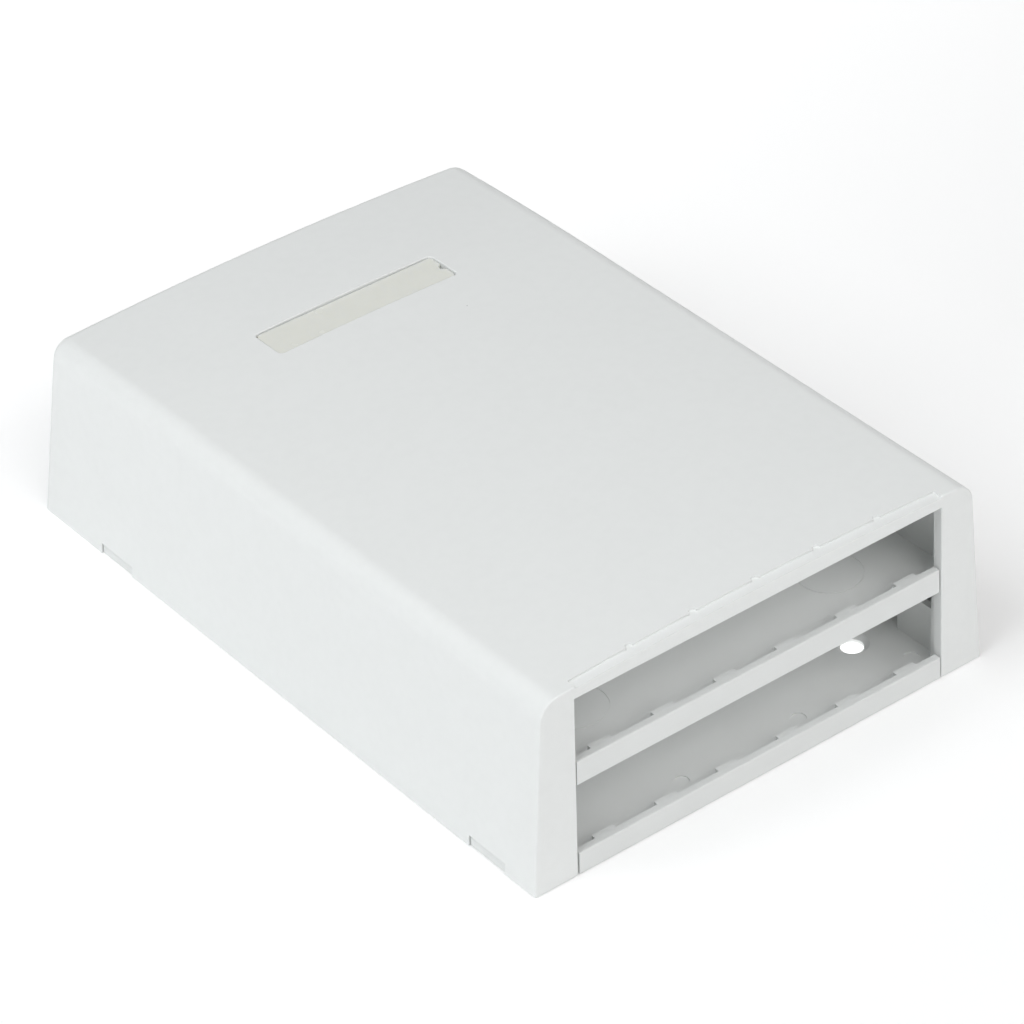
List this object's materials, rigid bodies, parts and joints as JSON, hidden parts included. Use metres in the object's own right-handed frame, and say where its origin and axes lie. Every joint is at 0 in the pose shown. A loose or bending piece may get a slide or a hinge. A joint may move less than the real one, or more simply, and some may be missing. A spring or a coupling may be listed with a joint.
{
  "type": "fiber termination box",
  "caption": "Low white surface box with a lift-off crowned cover, two rows of module openings in its front and spool decks for spare fiber inside.",
  "frame": {"origin": "middle of the footprint, on the mounting surface", "axes": "+Z out of the mounting surface to the crowned cover, ports face -Y, +X to the right seen from the ports"},
  "size_m": [0.1216, 0.1802, 0.0491],
  "materials": {
    "cover_abs": "fine moulded grain, satin",
    "body_abs": "smooth moulded, satin",
    "window_frosted": "frosted, milky, slightly warm",
    "label_paper": "paper card",
    "screw_steel": "zinc plated",
    "insert_brass": "turned",
    "nylon_natural": "natural nylon",
    "spool_abs": "moulded, satin",
    "splice_rubber": "matt",
    "entry_rubber": "matt"
  },
  "bodies": {
    "base": {"base": "body_abs", "threaded_insert": "insert_brass", "entry_grommet": "entry_rubber", "entry_plug": "entry_rubber", "cable_saddle_left": "spool_abs", "saddle_screws_left": "screw_steel", "cable_saddle_right": "spool_abs", "saddle_screws_right": "screw_steel", "lower_spool_front": "spool_abs", "lower_spool_rear": "spool_abs", "lower_splice_holder": "splice_rubber", "lower_clip_left_front": "nylon_natural", "lower_clip_left_rear": "nylon_natural", "lower_clip_right_front": "nylon_natural", "lower_clip_right_rear": "nylon_natural"},
    "cover": {"cover": "cover_abs"},
    "tray": {"upper_tray": "body_abs", "upper_spool_front": "spool_abs", "upper_spool_rear": "spool_abs", "upper_splice_holder": "splice_rubber", "upper_clip_left_front": "nylon_natural", "upper_clip_left_rear": "nylon_natural", "upper_clip_right_front": "nylon_natural", "upper_clip_right_rear": "nylon_natural"},
    "window": {"label_window": "window_frosted", "label_card": "label_paper"},
    "screw": {"cover_screw": "screw_steel", "screw_retainer": "nylon_natural"}
  },
  "joints": [
    {"name": "cover_lift", "type": "slide", "parent": "base", "child": "cover", "axis": [0, 0, 1], "range_m": [0, 0.12]},
    {"name": "tray_lift", "type": "slide", "parent": "base", "child": "tray", "axis": [0, 0, 1], "range_m": [0, 0.06]},
    {"name": "window_pop", "type": "slide", "parent": "cover", "child": "window", "axis": [0, 0, 1], "range_m": [0, 0.008]},
    {"name": "screw_turn", "type": "hinge", "parent": "cover", "child": "screw", "pos_m": [0, 0.04775, 0.04], "axis": [0, 0, 1], "continuous": true}
  ],
  "couplings": [
    {"joint": "tray_lift", "follows": "cover_lift", "ratio": 0.5}
  ]
}
